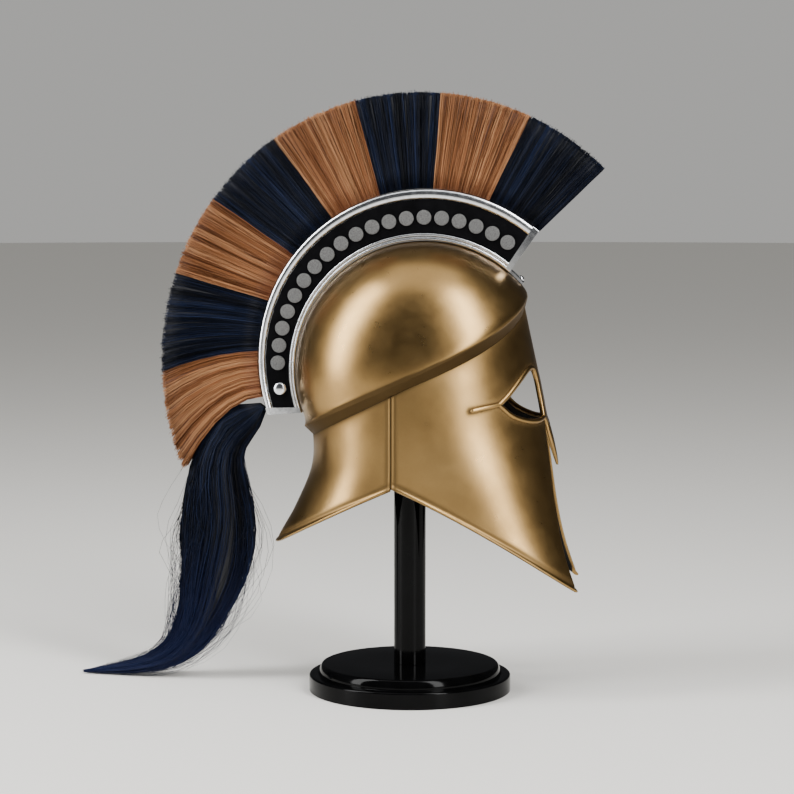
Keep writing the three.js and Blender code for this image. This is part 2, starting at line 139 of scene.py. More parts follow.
def mixed(tree, share, first, second, **settings):
    """The first colour with a share of the second."""
    return add(tree, "Mix", {0: share, 6: first, 7: second}, data_type="RGBA", **settings).outputs[2]


def bump(tree, height, strength, distance, **under):
    """A normal tilted by a height's slope, for a height of 1 that stands for a distance in metres."""
    inputs = {"Height": height, "Strength": strength, "Distance": distance, **under}
    return add(tree, "Bump", inputs).outputs[0]


def ramp(tree, value, stops):
    """A colour for each value, mixed in a straight line between stops of value and hex colour."""
    node = add(tree, "ValToRGB", {"Fac": value})
    elements = node.color_ramp.elements
    while len(elements) < len(stops):
        elements.new(0.5)
    for element, (position, colour) in zip(elements, stops):
        element.position = position
        element.color = linear(colour)
    return node.outputs[0]


FLOOR_RADIUS, FLOOR_SIDES = 14.0, 96
turn = np.linspace(0, 2 * np.pi, FLOOR_SIDES, endpoint=False)
floor_mesh = bpy.data.meshes.new("floor")
floor_edge = np.stack([FLOOR_RADIUS * np.cos(turn), FLOOR_RADIUS * np.sin(turn), 0 * turn], -1)
floor_mesh.from_pydata(floor_edge.tolist(), [], [list(range(FLOOR_SIDES))])
floor_paint, tree, shader = new_material("pale matt floor paint")[:3]
fill(tree, shader, {"Base Color": linear("#EFEDE8"), "Roughness": 0.55})
put_in_scene("floor", floor_mesh, [floor_paint])

LIT_POINT = (0, 0, 0.3)
SOFT_BOXES = [  # name, azimuth from the camera's side, elevation, distance, width, height, watts
    ("light_face", 40, 30, 2.4, 0.55, 2.8, 92),
    ("light_tail", -66, 27, 2.2, 0.6, 2.6, 84),
    ("light_top", -10, 78, 2.4, 2.0, 1.4, 18),
]
for name, azimuth, elevation, distance, width, height, watts in SOFT_BOXES:
    lamp = bpy.data.lights.new(name, "AREA")
    lamp.shape = "RECTANGLE"
    lamp.size, lamp.size_y, lamp.energy = width, height, watts
    aimed(name, lamp, LIT_POINT, azimuth, elevation, distance)

world = bpy.data.worlds.new("studio")
bpy.context.scene.world = world
world.use_nodes = True
tree = world.node_tree
tree.nodes.clear()
mirrored = add(tree, "LightPath").outputs["Is Glossy Ray"]
room = add(tree, "Background", {"Color": linear("#C9CBD0"), "Strength": 0.09})
backdrop = add(tree, "Background", {"Color": linear("#E4E3E0"), "Strength": 0.55})
shown = add(tree, "MixShader", {0: mirrored, 1: backdrop.outputs[0], 2: room.outputs[0]})
add(tree, "OutputWorld", {"Surface": shown.outputs[0]})


# ---- Skull ----
# The bowl of the helmet, raised from one sheet of bronze and planished. It is an ellipsoid tipped with its
# front up, whose foot flares to a sharp ledge and turns in under it to meet the plates below.
def grid_faces(rows, columns, close_rows=False, close_columns=False):
    """Quads between neighbouring points of a grid, numbered row by row, closed round where asked."""
    i = np.arange(rows if close_rows else rows - 1)[:, None]
    j = np.arange(columns if close_columns else columns - 1)[None, :]
    here, right = i * columns + j, i * columns + (j + 1) % columns
    below, across = ((i + 1) % rows) * columns + j, ((i + 1) % rows) * columns + (j + 1) % columns
    return np.stack([here, right, across, below], -1).reshape(-1, 4)


def smooth(piece, sharp):
    """Shades a piece smooth but for the edges that turn by more than sharp degrees."""
    piece.data.shade_smooth()
    piece.data.set_sharp_from_angle(angle=np.radians(sharp))


def new_piece(name, points, faces, materials, sharp=40, gap=1e-6):
    """A closed object from points and faces, smooth but for its edges over sharp degrees. Points that lie
    together, such as at a pole, are merged, and every face is turned to point out."""
    mesh = bpy.data.meshes.new(name)
    mesh.from_pydata(np.asarray(points).reshape(-1, 3).tolist(), [], [f.tolist() for f in faces])
    piece = put_in_scene(name, mesh, materials)
    smooth(piece, sharp)
    work = bmesh.new()
    work.from_mesh(mesh)
    bmesh.ops.remove_doubles(work, verts=work.verts, dist=gap)
    bmesh.ops.recalc_face_normals(work, faces=work.faces)
    work.to_mesh(mesh)
    work.free()
    return piece


def hermite(keys, rows, at):
    """A table's columns at values of its key: cubics through the rows, whose slope at each row is that of
    the line between its two neighbours."""
    keys, rows = np.asarray(keys, float), np.asarray(rows, float)
    last = len(keys) - 1
    before, after = np.maximum(np.arange(last + 1) - 1, 0), np.minimum(np.arange(last + 1) + 1, last)
    slopes = (rows[after] - rows[before]) / (keys[after] - keys[before])[:, None]
    i = np.clip(np.searchsorted(keys, at) - 1, 0, last - 1)
    span = keys[i + 1] - keys[i]
    t = np.clip((at - keys[i]) / span, 0, 1)[..., None]
    p, q, u, v = rows[i], rows[i + 1], slopes[i] * span[..., None], slopes[i + 1] * span[..., None]
    return p + t * (u + t * (3 * (q - p) - 2 * u - v + t * (2 * (p - q) + u + v)))


WALL, FIT = 2 * MM, 0.3 * MM
TIP = np.radians(30.9)
ALONG = np.array([np.cos(TIP), 0, np.sin(TIP)])
OVER = np.array([-np.sin(TIP), 0, np.cos(TIP)])
ACROSS = np.array([0.0, -1, 0])
SKULL_CENTRE = np.array([14.5, 0, 323.5]) * MM
SKULL_RADIUS, SKULL_HALF_WIDTH = 128.9 * MM, 98 * MM
LEDGE_CENTRE = np.array([5.3, 0, 333.9]) * MM
LEDGE_HALF_LENGTH, LEDGE_HALF_WIDTH, LEDGE_SAG = 129 * MM, 97.5 * MM, 10.6 * MM
LEDGE_FLARE, LEDGE_LIP = np.radians(4.5), 0.8 * MM
SAG_POWER = 1.2
BOWL_LINES, BOWL_POINTS, FLARE_POINTS, TURN_IN_POINTS = 300, 56, 8, 7
WAIST_Z, WAIST_TIP, WAIST_SAG = 323.5 * MM, 65 * MM, 13 * MM

# Plan sections of the plates: height, reach ahead and behind, half width, and how boxy the front is.
SECTIONS = np.array([
    [109, 178.5, 150, 89, 3.2],
    [154, 165, 133, 90, 2.7],
    [187, 157, 115, 90.5, 2.4],
    [230, 148.5, 98, 91, 2.1],
    [275, 138.2, 97.5, 91, 1.9],
    [325, 127.7, 97.5, 90, 1.9],
    [365, 119, 97.5, 87, 1.9],
    [405, 110.5, 97.5, 80, 1.9],
]) * [MM, MM, MM, MM, 1]


def plate(around, height, inside=0.0):
    """The plates' outer face: at each height an ellipse whose front half has a higher power than two,
    around in radians from the front towards the wearer's right, or a skin that far inside it."""
    around, height, inside = np.broadcast_arrays(around, height, inside)
    front, back, half, fullness = np.moveaxis(hermite(SECTIONS[:, 0], SECTIONS[:, 1:], height), -1, 0)
    c, s = np.cos(around), np.sin(around)
    power = 2 / np.where(c > 0, fullness, 2)
    ahead = (np.where(c > 0, front, back) - inside) * np.sign(c) * np.abs(c) ** power
    return np.stack([ahead, -(half - inside) * np.sign(s) * np.abs(s) ** power, height], -1)


def sag(around):
    """How far a ring hangs down, as a share: |sin a| (1 + cos a) to a power, most at the front's sides."""
    return np.abs(np.sin(around)) * (1 + np.cos(around)) ** SAG_POWER


def waist(around):
    """Height of the waist line, a tipped ring: its middle height, plus tip cos a, less its sag."""
    return WAIST_Z + WAIST_TIP * np.cos(around) - WAIST_SAG * sag(around)


def skull_skin(around, inside):
    """Lines from the crown to the ledge: down the ellipsoid, then out along a hollow curve that leaves it
    smoothly and ends at the ledge's edge. The result has a row for each line."""
    a = around[:, None]
    radius, half_width = SKULL_RADIUS - inside, SKULL_HALF_WIDTH - inside
    edge = LEDGE_CENTRE + ALONG * (LEDGE_HALF_LENGTH - inside) * np.cos(a)
    edge = edge + ACROSS * (LEDGE_HALF_WIDTH - inside) * np.sin(a) - OVER * LEDGE_SAG * sag(a)
    foot = np.arcsin((edge - SKULL_CENTRE) @ OVER / radius)[:, None]

    def ellipsoid(up):
        """Centre + out cos(up) + over sin(up), for out on the ring that the lines start from."""
        out = ALONG * (radius * np.cos(a))[..., None] + ACROSS * (half_width * np.sin(a))[..., None]
        return SKULL_CENTRE + out * np.cos(up)[..., None] + OVER * (radius * np.sin(up))[..., None]

    fall = np.linspace(0, 1, BOWL_POINTS)
    bowl = ellipsoid(np.pi / 2 + (foot + LEDGE_FLARE - np.pi / 2) * fall)
    bend = ellipsoid(foot + 0.35 * LEDGE_FLARE)
    t = np.linspace(0, 1, FLARE_POINTS + 1)[1:, None]
    flare = (1 - t) ** 2 * bowl[:, -1:] + 2 * t * (1 - t) * bend + t**2 * edge[:, None]
    return np.concatenate([bowl, flare], 1)


around = np.linspace(0, 2 * np.pi, BOWL_LINES, endpoint=False)
foot = waist(around) + FIT / 2
outer, inner = skull_skin(around, 0.0), skull_skin(around, WALL)
brim = outer[:, -1:]
under = plate(around, foot)[:, None]
lip = brim - [0, 0, LEDGE_LIP]
turned_in = lip + (under - lip) * np.linspace(0, 1, TURN_IN_POINTS)[:, None]
lining = plate(around, foot, WALL)[:, None]
skull_points = np.concatenate([outer, turned_in, lining, inner[:, ::-1]], 1)


def antique_bronze(name):
    """Bronze sheet, planished, brushed by hand and browned with a wax patina: a satin metal with fine
    scratches, softly mottled, and darker and duller where a stored attribute says: painted shade under the
    ledge and beside the eye wire, patina along the seams deepened by painted shade, and a band above the
    rims."""
    material, tree, shader, place = new_material(name)
    mottle = ramp(
        tree, noise(tree, place, 14.0, 4.0), [(0.30, "#836840"), (0.50, "#917448"), (0.72, "#9E8052")]
    )
    fleck = spread(tree, noise(tree, place, 420.0, 3.0, 0.7), 0.965, 1.0, (0.35, 0.62))
    speckled = mixed(tree, 1.0, mottle, fleck, blend_type="MULTIPLY")
    # Painted shade and patina: the share by which the colour goes to dark brown and the finish to dull.
    grime = painted(tree, "grime")
    satin = spread(tree, noise(tree, place, 60.0, 5.0, 0.65), 0.27, 0.33, (0.3, 0.7))
    stretched = add(tree, "Mapping", {"Vector": place, "Scale": (1.0, 1.0, 0.12)}).outputs[0]
    scratches = bump(tree, noise(tree, stretched, 900.0, 3.0), 0.10, 0.2 * MM)
    fill(tree, shader, {
        "Base Color": mixed(tree, grime, speckled, linear("#20170E")),
        "Metallic": 1.0,
        "Roughness": add(tree, "Mix", {0: grime, 2: satin, 3: 0.75}, data_type="FLOAT").outputs[0],
        "Normal": bump(tree, noise(tree, place, 38.0, 2.0), 0.10, 0.5 * MM, Normal=scratches),
    })
    return material


def near_black_bronze(name):
    """The inside of the sheet: nearly black and left unpolished."""
    material, tree, shader, place = new_material(name)
    dark_tone = ramp(tree, noise(tree, place, 90.0, 5.0), [(0.35, "#070605"), (0.70, "#1A130D")])
    fill(tree, shader, {"Base Color": dark_tone, "Metallic": 0.6, "Roughness": 0.7})
    return material


def paint_points(piece, name, values):
    """Stores one number for each of a mesh's points, such as how much painted shade and patina it carries.
    """
    layer = piece.data.attributes.new(name, "FLOAT", "POINT")
    layer.data.foreach_set("value", np.clip(values, 0, 1).astype(np.float32))


def places(items, kind):
    """A row of three numbers for each vertex or face of a mesh."""
    flat = np.empty(3 * len(items), np.float32)
    items.foreach_get(kind, flat)
    return flat.reshape(-1, 3).astype(float)


def darken_inside(piece, is_inside):
    """Gives a piece's second material to the faces whose centres a function finds to be inside."""
    chosen = is_inside(places(piece.data.polygons, "center")).astype(np.int32)
    piece.data.polygons.foreach_set("material_index", chosen)


def fade(distance, reach):
    """exp(-distance / reach), and 1 where the distance is below 0."""
    return np.exp(-np.clip(distance, 0, None) / reach)


def stand_for(piece, slot, *nodes):
    """The piece is part of the one body and hides the solids that it stands for; its slot is not used."""
    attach(piece, "root")
    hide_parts(*nodes)


bronze = antique_bronze("antique brushed bronze")
bronze_inside = near_black_bronze("fire-blackened bronze")

skull_faces = grid_faces(*skull_points.shape[:2], close_rows=True)
skull = new_piece("skull_bowl", skull_points, skull_faces, [bronze, bronze_inside])


def within_plates(points, inside):
    """Whether points lie within a skin that far inside the plates' outer face: the way round at which the
    skin lies in each point's direction is found by stepping by the angle that is left."""
    aim = np.arctan2(-points[:, 1], points[:, 0])
    turn = aim.copy()
    for _ in range(8):
        wall = plate(turn, points[:, 2], inside)
        turn = turn + aim - np.arctan2(-wall[:, 1], wall[:, 0])
    return np.hypot(points[:, 0], points[:, 1]) < np.hypot(wall[:, 0], wall[:, 1])


def inside_skull(points):
    """Whether points are within the middle of the bowl's wall."""
    away = points - SKULL_CENTRE
    along, over = away @ ALONG / SKULL_RADIUS, away @ OVER / SKULL_RADIUS
    across = away @ ACROSS / SKULL_HALF_WIDTH
    bowl = along**2 + over**2 + across**2 < (1 - 0.5 * WALL / SKULL_RADIUS) ** 2
    return bowl & within_plates(points, 0.5 * WALL)


darken_inside(skull, inside_skull)
at = places(skull.data.vertices, "co")
turn = np.arctan2(-at[:, 1] / SKULL_HALF_WIDTH, at[:, 0] / SKULL_RADIUS) % (2 * np.pi)
ledge_depth = np.interp(turn, around, brim[:, 0, 2] - foot, period=2 * np.pi)
past_ledge = at[:, 2] - waist(turn) - ledge_depth
# Painted shade under the ledge: the lip's underside, the turned-in strip and the lining are darkened.
paint_points(skull, "grime", 0.8 * fade(past_ledge + 1.2 * MM, 0.8 * MM))
smooth(skull, 30)
stand_for(skull, "bronze", "skull_dome")


# ---- Face plate and neck plate ----
# Two bronze plates that hang from the skull's ledge and meet at a raised seam on each side. Their lower
# edges are rolled over a wire, and the eyes and the nasal are edged with a bronze wire that is brazed on.
SEAM_AT = 97  # degrees from the front
SEAM_WIDTH, SEAM_HEIGHT = 2.6 * MM, 1.1 * MM
RIM_BEAD, EYE_BEAD = 2.3 * MM, 2.8 * MM
CHEEK_RIM, NECK_RIM = (211 * MM, -0.478, -0.7), (220 * MM, 0.43, -0.6)  # level, slope and bend
RIM_LOWEST, RIM_HIGHEST = 90 * MM, 240 * MM
PLATE_HALF_LENGTH, PLATE_HALF_WIDTH = 97 * MM, 91 * MM
DEGREES_PER_METRE = 360 / (2 * np.pi * 90 * MM)
RIB_POINTS, DOWN_POINTS, ROLL_POINTS = 7, 80, 19
ROLL_FROM, ROLL_TO = -38, 218  # degrees round the rim's wire, from straight out


def unit(vectors):
    """Vectors over their own lengths."""
    return vectors / np.linalg.norm(vectors, axis=-1, keepdims=True)


def capped(rows, columns):
    """Faces of a grid that is closed round its columns, with a cap over its first and last row."""
    cap = np.arange(columns)
    return list(grid_faces(rows, columns, close_columns=True)) + [cap[::-1], (rows - 1) * columns + cap]


def bell(distance, middle, half):
    """exp(-((distance - middle) / half)^2)."""
    return np.exp(-(((distance - middle) / half) ** 2))


def last_true(holds, low, high):
    """Where a condition that holds at low and fails at high stops holding, by halving the span 40 times."""
    for _ in range(40):
        middle = (low + high) / 2
        met = holds(middle)
        low, high = np.where(met, middle, low), np.where(met, high, middle)
    return (low + high) / 2


def rim_line(x, curve):
    """A lower rim's height in side view: level + slope x + bend x^2."""
    level, slope, bend = curve
    return level + slope * x + bend * x * x


def rim(around, curve):
    """Height at which the plate meets its lower rim's line."""
    return last_true(
        lambda height: height < rim_line(plate(around, height)[..., 0], curve),
        np.full_like(around, RIM_LOWEST),
        np.full_like(around, RIM_HIGHEST),
    )


def plate_piece(name, start, end, columns, rim_curve):
    """A sheet between two seams: each line runs down the outer face, round the rolled rim and up the
    inner face. Along each seam the outer face rises to a rounded rib."""
    edge, rib = 0.5 * FIT * DEGREES_PER_METRE, SEAM_WIDTH * DEGREES_PER_METRE
    profile = np.linspace(0, 1, RIB_POINTS)
    near = edge + rib * profile
    between = np.linspace(start + near[-1], end - near[-1], columns)[1:-1]
    turn = np.radians(np.concatenate([start + near, between, end - near[::-1]]))[:, None]
    lift = np.zeros_like(turn)
    lift[:RIB_POINTS, 0] = SEAM_HEIGHT * np.cos(profile * np.pi / 2) ** 0.7
    lift[-RIB_POINTS:] = lift[:RIB_POINTS][::-1]
    bottom = rim(turn[:, 0], rim_curve)[:, None]
    top = waist(turn) - FIT / 2
    heights = top + (bottom + 1.3 * RIM_BEAD - top) * np.linspace(0, 1, DOWN_POINTS)
    out, inn = plate(turn, bottom), plate(turn, bottom, WALL)
    outward, downward = unit(out - inn), unit(out - plate(turn, bottom + 4 * MM))
    bend = np.radians(np.linspace(ROLL_FROM, ROLL_TO, ROLL_POINTS))[None, :, None]
    bead = RIM_BEAD + 0.4 * lift[..., None]
    roll = (out + inn) / 2 + outward * bead * np.cos(bend) + downward * RIM_BEAD * np.sin(bend)
    face = plate(turn, heights, -lift)
    back = plate(turn, heights[:, ::2], WALL)[:, ::-1]
    points = np.concatenate([face, roll, back], 1)
    return new_piece(name, points, capped(*points.shape[:2]), [bronze, bronze_inside])


def block(outline, near, far):
    """A front-view outline of pairs across and up, carried along X between two distances."""
    ends = [np.concatenate([np.full((len(outline), 1), x), outline], 1) for x in (near, far)]
    return new_piece("cutter", np.stack(ends), capped(2, len(outline)), [])


def cut_away(piece, cutters):
    """Cuts blocks out of a closed piece, and removes them."""
    for cutter in cutters:
        cut = piece.modifiers.new("cut", "BOOLEAN")
        cut.operation, cut.solver, cut.object = "DIFFERENCE", "EXACT", cutter
    bpy.context.view_layer.update()
    ready = piece.evaluated_get(bpy.context.evaluated_depsgraph_get())
    mesh = bpy.data.meshes.new_from_object(ready)
    piece.modifiers.clear()
    piece.data = mesh
    for cutter in cutters:
        bpy.data.objects.remove(cutter)


def through(points, count):
    """A smooth curve through points at even spacing: centripetal Catmull-Rom, which is worked out as
    linear mixes of linear mixes between knots whose spacing is the root of the points' distance."""
    points = np.asarray(points, float)
    ends = np.concatenate([[2 * points[0] - points[1]], points, [2 * points[-1] - points[-2]]])
    knots = np.concatenate([[0], np.cumsum(np.linalg.norm(np.diff(ends, axis=0), axis=1) ** 0.5)])
    t = np.linspace(knots[1], knots[-2], 40 * len(points))
    i = np.clip(np.searchsorted(knots, t) - 1, 1, len(points) - 1)
    k = [knots[i + step] for step in (-1, 0, 1, 2)]
    p = [ends[i + step] for step in (-1, 0, 1, 2)]

    def mix(a, b, low, high):
        """a at the knot low and b at the knot high."""
        share = ((t - low) / (high - low))[:, None]
        return a + (b - a) * share

    first = [mix(p[n], p[n + 1], k[n], k[n + 1]) for n in range(3)]
    second = [mix(first[n], first[n + 1], k[n], k[n + 2]) for n in range(2)]
    line = mix(second[0], second[1], k[1], k[2])
    return evenly(line, count)


def evenly(line, count):
    """The same line at a number of points that lie the same way apart."""
    way = np.concatenate([[0], np.cumsum(np.linalg.norm(np.diff(line, axis=0), axis=1))])
    at = np.linspace(0, way[-1], count)
    return np.stack([np.interp(at, way, line[:, axis]) for axis in range(line.shape[1])], -1)


# The opening between the cheeks and the nasal that hangs in it: heights and half widths in front view.
MOUTH = np.array([[80, 53], [111, 51.5], [138, 49.5], [160, 46], [187, 40.5], [212, 35], [236, 29],
                  [251, 24.5], [271, 19], [276, 15.5]]) * MM
NASAL = np.array([[231, 2.4], [238, 5.6], [250, 9], [264, 11.5], [276, 12.5]]) * MM
NASAL_TIP = 229.5 * MM
# The right eye in front view: out from the middle, and height.
UPPER_LID = np.array([[63.5, 295], [57, 302.5], [49, 311.5], [38, 321.5], [28, 327.5], [19.5, 327],
                      [15, 318.5], [14.2, 304], [14.5, 289], [16, 279]]) * MM
LOWER_LID = np.array([[16, 279], [29, 276.2], [43, 277.4], [55, 283], [63.5, 295]]) * MM
EYE_TAIL = np.array([[78.2, 289.8], [71, 292.8], [63.5, 295]]) * MM

cheek_edge, nasal_edge = [
    np.stack([hermite(table[:, 0], table[:, 1:], heights)[:, 0], heights], -1)
    for table, heights in [
        (MOUTH, np.linspace(MOUTH[0, 0], NASAL[-1, 0], 50)),
        (NASAL, np.linspace(NASAL[-1, 0], NASAL[0, 0], 24)),
    ]
]
half_mouth = np.concatenate([cheek_edge, nasal_edge])
mouth = np.concatenate([half_mouth * [-1, 1], [[0, NASAL_TIP]], half_mouth[::-1]])
upper_lid, lower_lid = through(UPPER_LID, 90), through(LOWER_LID, 50)
eye = np.concatenate([upper_lid, lower_lid[1:-1]])

face = plate_piece("face_plate", -SEAM_AT, SEAM_AT, 200, CHEEK_RIM)
cutters = [block(mouth, 60 * MM, 220 * MM)]
cutters += [block(eye * [side, 1], 40 * MM, 220 * MM) for side in (1, -1)]
cut_away(face, cutters)


def on_face(line):
    """Points of a front-view line, signed out towards the wearer's right and up, on the middle of the face
    sheet, at the way round between ahead and sideways where it is that far out."""
    out, height = line[:, 0], line[:, 1]
    around = last_true(
        lambda turn: -plate(turn, height)[:, 1] < np.abs(out),
        np.zeros_like(out),
        np.full_like(out, np.pi / 2),
    )
    return plate(np.sign(out) * around, height, WALL / 2)


def tube(line, radius, sides=12):
    """Points and faces of a round wire along a line: circles square to the line, turned to one steady
    direction, and a cap at each end. The radius is one number or one for each point."""
    line = np.asarray(line, float)
    ahead = unit(np.gradient(line, axis=0))
    side = unit(np.cross(ahead, [1.0, 0.02, 0.03] if abs(ahead[:, 0]).mean() < 0.8 else [0.02, 0.03, 1.0]))
    up = np.cross(side, ahead)
    turn = np.linspace(0, 2 * np.pi, sides, endpoint=False)[None, :, None]
    radius = np.broadcast_to(radius, len(line))[:, None, None]
    points = line[:, None] + radius * (side[:, None] * np.cos(turn) + up[:, None] * np.sin(turn))
    return points.reshape(-1, 3), capped(len(line), sides)


def gather(parts):
    """Several sets of points and faces as one set."""
    points, faces, used = [], [], 0
    for some_points, some_faces in parts:
        points.append(some_points)
        faces += [face + used for face in some_faces]
        used += len(some_points)
    return np.concatenate(points), faces


LID_POINTS, CHEEK_CORNER, NASAL_TAPER = 190, 0.45, 26 * MM
around_eye = np.concatenate([through(EYE_TAIL, 16)[:-1], upper_lid])
wires, beaded = [], []
for side in (1, -1):
    line = evenly(on_face(np.concatenate([around_eye, nasal_edge[2:]]) * [side, 1]), LID_POINTS)
    way = np.linspace(0, np.linalg.norm(np.diff(line, axis=0), axis=1).sum(), LID_POINTS)
    nose = np.sqrt(np.clip(1 - (1 - np.clip(way / EYE_BEAD, 0, 1)) ** 2, 0.02, 1))
    taper = np.clip((way[-1] - way) / NASAL_TAPER, 0, 1) ** 0.7 * 0.55 + 0.45
    wires.append(tube(line, EYE_BEAD * nose * taper))
    lower = evenly(on_face(lower_lid * [side, 1]), 60)
    wires.append(tube(lower, 0.96 * EYE_BEAD))
    cheek = on_face(cheek_edge[6:] * [side, 1])
    low_enough = cheek[:, 2] > rim(np.full(1, CHEEK_CORNER), CHEEK_RIM)[0]
    wires.append(tube(evenly(cheek[low_enough], 80), 0.55 * WALL, 10))
    beaded += [evenly(on_face(around_eye * [side, 1]), 120), lower]
edging = new_piece("eye_and_nasal_wire", *gather(wires), [bronze])
paint_points(edging, "grime", np.zeros(len(edging.data.vertices)))
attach(edging, "root")

neck = plate_piece("neck_plate", SEAM_AT, 360 - SEAM_AT, 130, NECK_RIM)
for piece, curve, node in [(face, CHEEK_RIM, "face_guard"), (neck, NECK_RIM, "neck_guard")]:
    darken_inside(piece, lambda points: within_plates(points, 0.65 * WALL))
    at = places(piece.data.vertices, "co")
    turn = np.arctan2(-at[:, 1] / PLATE_HALF_WIDTH, at[:, 0] / PLATE_HALF_LENGTH)
    from_seam = PLATE_HALF_WIDTH * np.abs(np.abs(turn) - np.radians(SEAM_AT))
    from_wire = np.full(len(at), 1.0)
    for wire_point in np.concatenate(beaded)[::3]:
        from_wire = np.minimum(from_wire, np.linalg.norm(at - wire_point, axis=1))
    # Painted shade and patina, the strongest of four marks at each point: along the seams patina deepened
    # by painted shade in the gap and in a band beside the rib, painted shade under the skull's ledge, a
    # darker band just above the rolled rim, and painted shade beside the eye wire.
    grime = [
        fade(from_seam, 1.2 * MM) + 0.6 * bell(from_seam, 4 * MM, 2 * MM),
        0.85 * fade(waist(turn) - at[:, 2], 5 * MM),
        0.6 * bell(at[:, 2] - rim_line(at[:, 0], curve), 5 * MM, 2.4 * MM),
        0.75 * fade(from_wire - EYE_BEAD, 1.3 * MM),
    ]
    paint_points(piece, "grime", np.max(grime, 0))
    smooth(piece, 35)
    piece.data.update()
    stand_for(piece, "bronze", node)


# ---- Crest box ----
# A flat box bent over the skull, of polished cast aluminium: a half-round rail outside, a grooved rail
# inside, a strip across each end and a tongue that the front screw holds down.
CREST = {"x": 17.6 * MM, "z": 334.2 * MM, "radius": 169.3 * MM}
CREST_FOOT = {"x": 14.5 * MM, "z": 323.5 * MM, "radius": 129.5 * MM}
CREST_FROM, CREST_TO, PANEL_FROM, PANEL_TO, TONGUE_FROM = 49.2, 199.4, 51.6, 196.9, 41.5
CREST_HALF, PANEL_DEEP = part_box("crest_frame")[1].y, 2.7 * MM


def on_circle(circle, degrees, beyond=0.0):
    """Side-view points x and z of a circle, or of one that is larger by beyond."""
    angle = np.radians(degrees)
    radius = circle["radius"] + beyond
    return np.stack([circle["x"] + radius * np.cos(angle), circle["z"] + radius * np.sin(angle)], -1)


def carried(start, end, stations, side):
    """An outline carried round the crest and capped. One side of it is given, as pairs of share, 0 on the
    box's foot circle and 1 on its outer one, and half-thickness. The other side mirrors it."""
    side = np.array(side)
    share, across = np.concatenate([side, side[::-1] * [1, -1]]).T
    degrees = np.linspace(start, end, stations)
    foot, rim = on_circle(CREST_FOOT, degrees), on_circle(CREST, degrees)
    flat = foot[:, None] + (rim - foot)[:, None] * share[None, :, None]
    across = np.broadcast_to(across[:, None], flat[..., :1].shape)
    points = np.concatenate([flat[..., :1], across, flat[..., 1:]], -1)
    return points.reshape(-1, 3), capped(stations, len(share))


def rounded(low, high, outer, width, rise):
    """One side of a rail: an outline over shares low to high, from the middle plane out to a
    half-thickness, with its two corners rounded as quarter ellipses of that width and rise."""
    turn = np.linspace(0, np.pi / 2, 7)
    inset, height = width * (1 - np.cos(turn)), outer - rise + rise * np.sin(turn)
    first = np.stack([low + inset, height], -1)
    last = np.stack([high - inset, height], -1)[::-1]
    return np.concatenate([[[low, 0.0]], first, last, [[high, 0.0]]])


PANEL_FLOOR = CREST_HALF - PANEL_DEEP
core = [[0.004, PANEL_FLOOR], [0.985, PANEL_FLOOR]]
strip = rounded(0.0, 1.0, CREST_HALF, 0.02, 0.8 * MM)
CREST_PARTS = [  # first and last angle, stations between them, and one side's outline
    (CREST_FROM + 0.1, CREST_TO - 0.1, 160, core),
    (CREST_FROM, CREST_TO, 220, rounded(0.795, 1.0, CREST_HALF, 0.10, 3.4 * MM)),
    (CREST_FROM, CREST_TO, 180, rounded(0.0, 0.062, CREST_HALF - 0.2 * MM, 0.028, 1.1 * MM)),
    (CREST_FROM, CREST_TO, 180, rounded(0.074, 0.136, CREST_HALF - 0.2 * MM, 0.028, 1.1 * MM)),
    (CREST_FROM, PANEL_FROM, 6, strip),
    (PANEL_TO, CREST_TO, 6, strip),
    (TONGUE_FROM, CREST_FROM + 1, 16, [[0.0, 7.0 * MM], [0.045, 7.0 * MM], [0.06, 6.2 * MM]]),
]


def cast_aluminium(name):
    """Sand-cast aluminium, filed and polished by hand: a cool metal with a faint file grain and a little
    grey oxide in its grain."""
    material, tree, shader, place = new_material(name)
    oxide = noise(tree, place, 120.0, 6.0, 0.7)
    fill(tree, shader, {
        "Base Color": ramp(tree, oxide, [(0.25, "#B4B6B9"), (0.5, "#E2E4E7")]),
        "Metallic": 1.0,
        "Roughness": spread(tree, noise(tree, place, 250.0, 4.0), 0.17, 0.24, (0.3, 0.7)),
        "Normal": bump(tree, noise(tree, place, 1 / (0.8 * MM), 2.0), 0.02, 0.15 * MM),
    })
    return material


polished = cast_aluminium("polished cast aluminium")
crest = new_piece("crest_box", *gather([carried(*part) for part in CREST_PARTS]), [polished])
stand_for(crest, "silver_metal", "crest_frame")


# ---- Crest panels, discs, rivets and screw ----
# Each side of the box is filled with a panel of black-painted steel. A row of blasted aluminium discs is
# stuck along its middle, a domed rivet ends the row at the back, and a round screw holds the front tongue.
def black_paint(name):
    """Satin black enamel sprayed on steel, with a little orange peel and faint rubbing."""
    material, tree, shader, place = new_material(name)
    rub = noise(tree, place, 70.0, 6.0, 0.7)
    fill(tree, shader, {
        "Base Color": ramp(tree, rub, [(0.35, "#040405"), (0.75, "#0A0A0C")]),
        "Roughness": spread(tree, rub, 0.42, 0.6),
        "Specular IOR Level": 0.03,
        "Normal": bump(tree, noise(tree, place, 1 / (1.2 * MM), 1.0), 0.2, 0.08 * MM),
    })
    return material


def blasted_aluminium(name):
    """Aluminium blasted with fine grit and left dull: an even grey with the grit's fine sparkle."""
    material, tree, shader, place = new_material(name)
    grit = noise(tree, place, 1 / (0.9 * MM), 4.0, 0.8)
    fill(tree, shader, {
        "Base Color": ramp(tree, grit, [(0.34, "#3C3C3D"), (0.66, "#686867")]),
        "Metallic": 0.35,
        "Roughness": 0.62,
        "Normal": bump(tree, grit, 0.5, 0.15 * MM),
    })
    return material


panel_paint = black_paint("satin black enamel")
disc_grey = blasted_aluminium("grit-blasted aluminium")
for name in ("crest_panel_right", "crest_panel_left"):
    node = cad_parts[name]
    node.data.materials.clear()
    node.data.materials.append(panel_paint)


